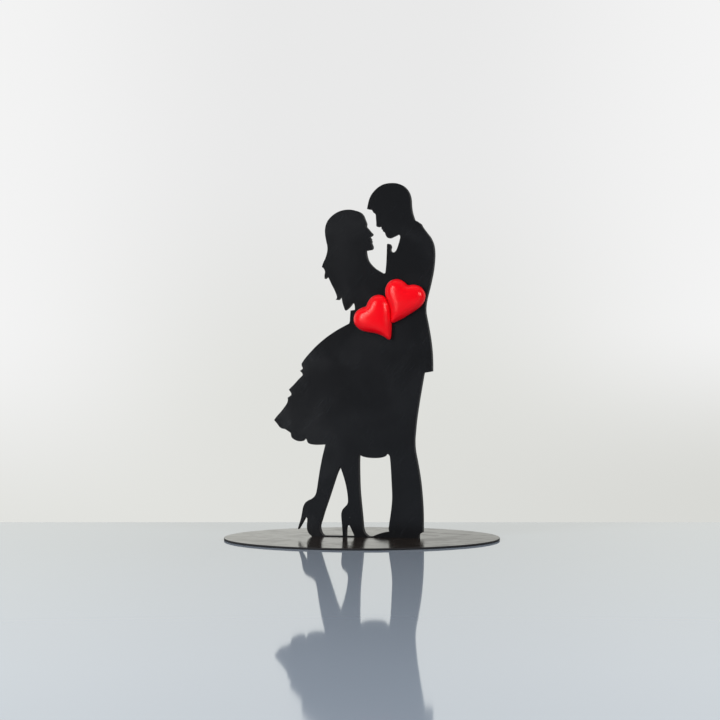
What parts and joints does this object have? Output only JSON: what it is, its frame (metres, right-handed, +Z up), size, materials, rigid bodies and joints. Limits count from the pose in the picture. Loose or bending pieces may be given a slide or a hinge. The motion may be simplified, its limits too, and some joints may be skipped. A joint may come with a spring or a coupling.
{
  "type": "wedding cake topper",
  "caption": "Cake topper: a flat black silhouette of an embracing couple standing in a thin round base, with padded red hearts stuck on at the waist.",
  "frame": {"origin": "middle of the base disc's underside, on the surface the topper stands on", "axes": "+Z up; +X to the right seen from the front, along the couple panel; -Y towards the viewer, the side with the hearts"},
  "size_m": [0.15, 0.15, 0.1935],
  "materials": {
    "base_gloss": "cast acrylic sheet, mirror gloss, near-black warm brown",
    "sheet_satin": "acrylic sheet, satin black, laser-cut edges a little glossier",
    "heart_gloss": "moulded plastic, glossy red",
    "pad_foam": "double-sided adhesive foam, white",
    "cement": "set acrylic cement, dark and glossy"
  },
  "bodies": {
    "root": {"base_disc": "base_gloss", "couple_panel": "sheet_satin", "heart_left": "heart_gloss", "heart_right": "heart_gloss", "heart_pad_left": "pad_foam", "heart_pad_right": "pad_foam", "cement_bead_lifted_shoe": "cement", "cement_bead_standing_shoe": "cement", "cement_bead_man_toe": "cement", "cement_bead_man_heel": "cement"}
  },
  "joints": []
}
